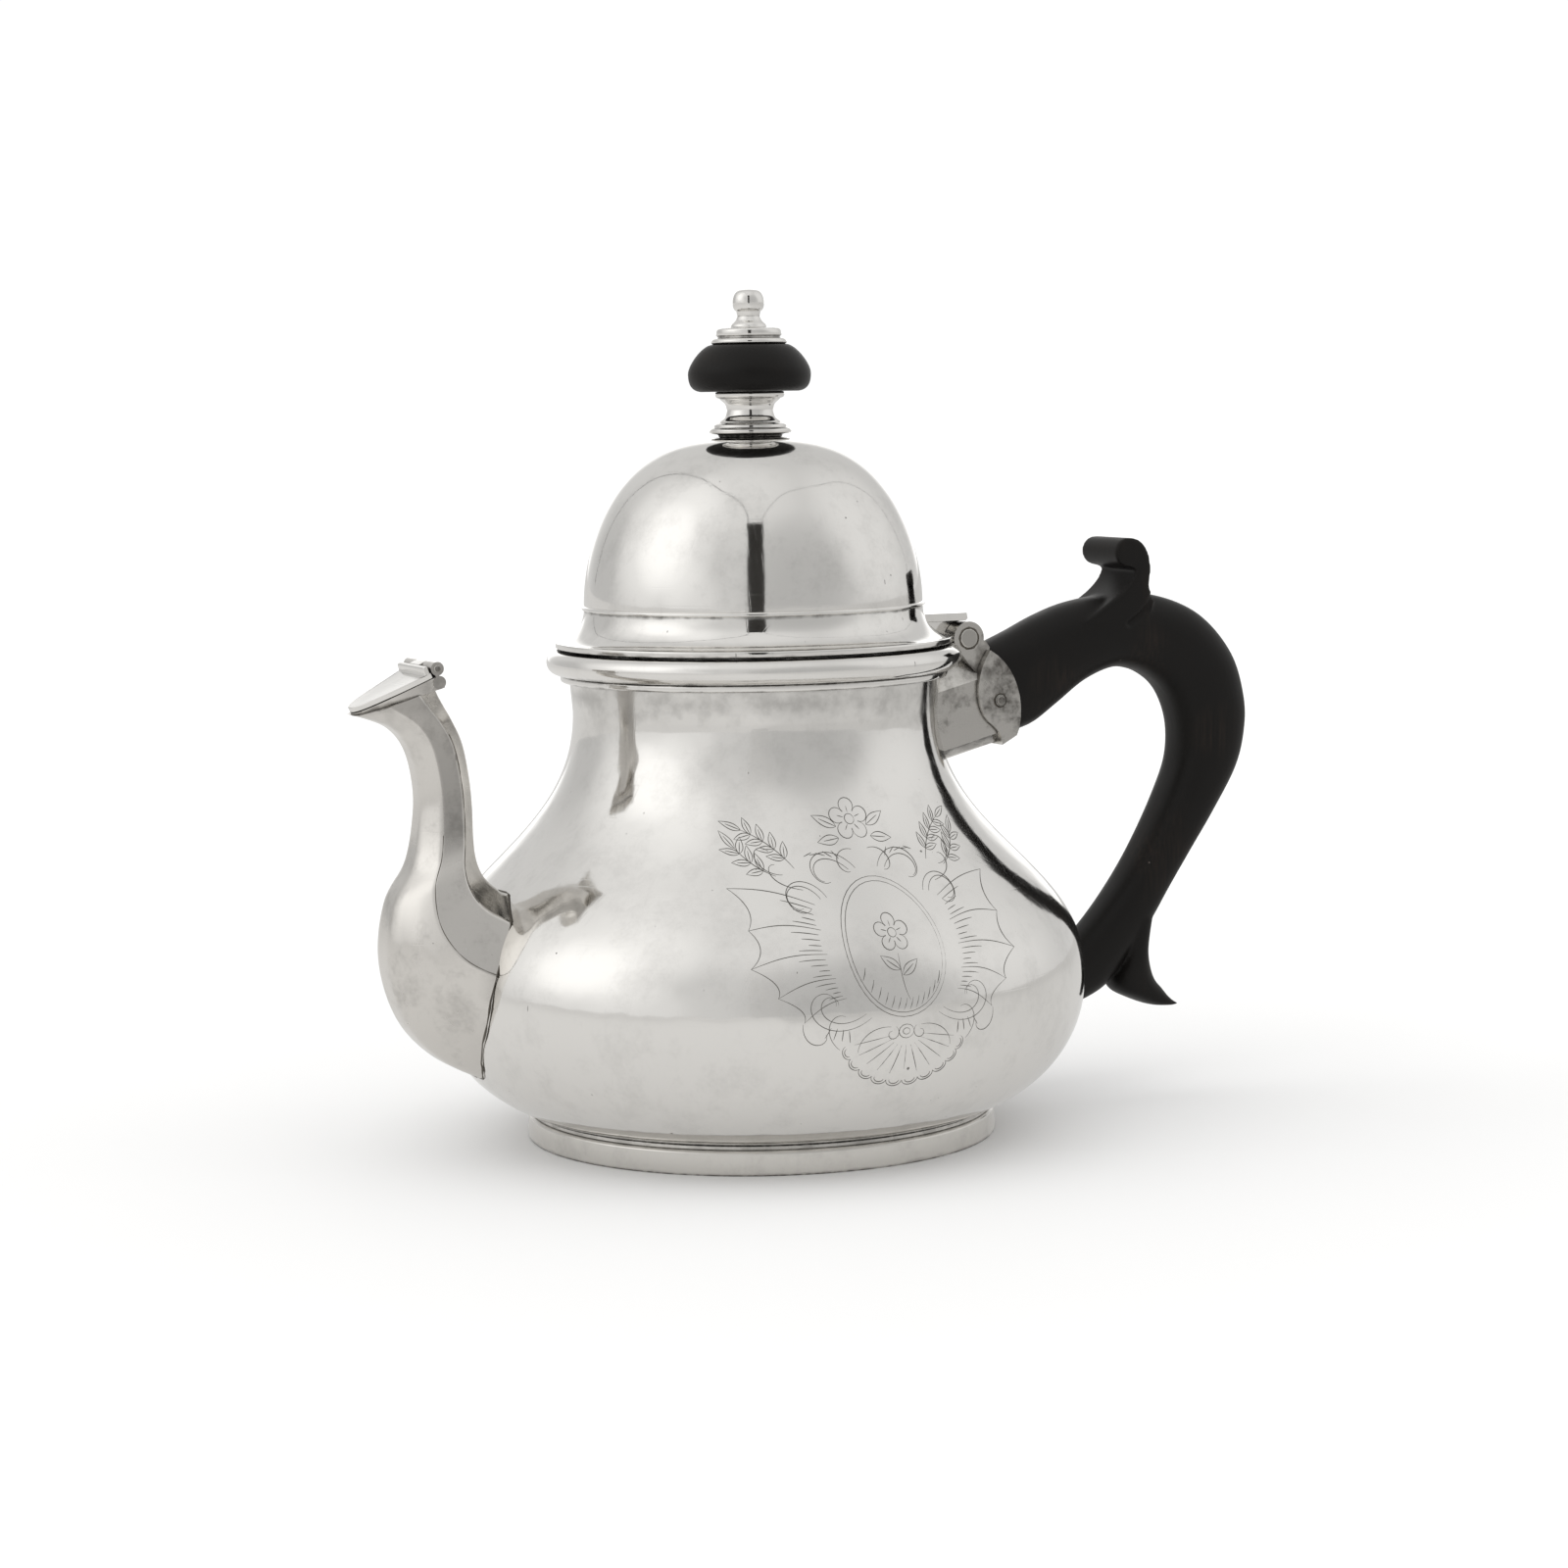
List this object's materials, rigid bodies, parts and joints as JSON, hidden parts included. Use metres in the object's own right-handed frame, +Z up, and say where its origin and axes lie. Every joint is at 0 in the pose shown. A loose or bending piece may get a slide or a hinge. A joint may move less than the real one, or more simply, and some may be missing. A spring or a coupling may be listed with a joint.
{
  "type": "teapot",
  "caption": "Pear-shaped silver teapot on a ring foot with a hinged domed lid, a faceted swan-neck spout under a small hinged flap, and a carved black wooden handle.",
  "frame": {"origin": "centre of the foot ring's resting plane, on the axis of the pot", "axes": "+Z up along the pot's axis, +X towards the handle, -X towards the spout, +Y to the left of the spout seen from the handle"},
  "size_m": [0.1884, 0.1244, 0.16],
  "materials": {
    "silver_body": "polished raised silver with fine scratches, small pits and an engraved cartouche",
    "silver_foot": "polished silver wire, tarnished in its upper groove",
    "silver_mouth": "polished silver moulding with dark joint lines",
    "silver_spout": "cast silver, pitted and a little duller than the body",
    "silver_flap": "polished sheet silver",
    "silver_socket": "cast and filed silver with tarnish in the corners",
    "silver_pins": "filed silver wire ends, slightly tarnished",
    "silver_lid": "polished raised silver with a raised line round it",
    "silver_finial": "turned silver, polished",
    "black_wood": "ebonised fruitwood, satin, with worn pale marks"
  },
  "bodies": {
    "pot": {"body_shell": "silver_body", "foot_ring": "silver_foot", "mouth_fillet": "silver_mouth", "mouth_bead": "silver_mouth", "spout_half_left": "silver_spout", "spout_half_right": "silver_spout", "spout_lip": "silver_spout", "flap_hinge_lugs": "silver_spout", "flap_hinge_pin": "silver_pins", "handle_socket": "silver_socket", "socket_collar": "silver_socket", "socket_rivet": "silver_pins", "handle": "black_wood", "handle_spigot": "silver_socket", "spigot_pin": "silver_pins", "lid_hinge_posts": "silver_socket", "lid_hinge_pin": "silver_pins"},
    "lid": {"lid_dome": "silver_lid", "lid_bezel": "silver_lid", "lid_hinge_leaf": "silver_lid", "finial_base": "silver_finial", "finial_disc": "black_wood", "finial_cap": "silver_finial", "finial_rod": "silver_pins", "finial_nut": "silver_pins"},
    "flap": {"spout_flap": "silver_flap", "flap_knuckle": "silver_flap"}
  },
  "joints": [
    {"name": "lid_hinge", "type": "hinge", "parent": "pot", "child": "lid", "pos_m": [0.043, 0, 0.0928], "axis": [0, 1, 0], "range_deg": [0, 90]},
    {"name": "flap_hinge", "type": "hinge", "parent": "pot", "child": "flap", "pos_m": [-0.0663, 0, 0.092], "axis": [0, 1, 0], "range_deg": [0, 110]}
  ]
}
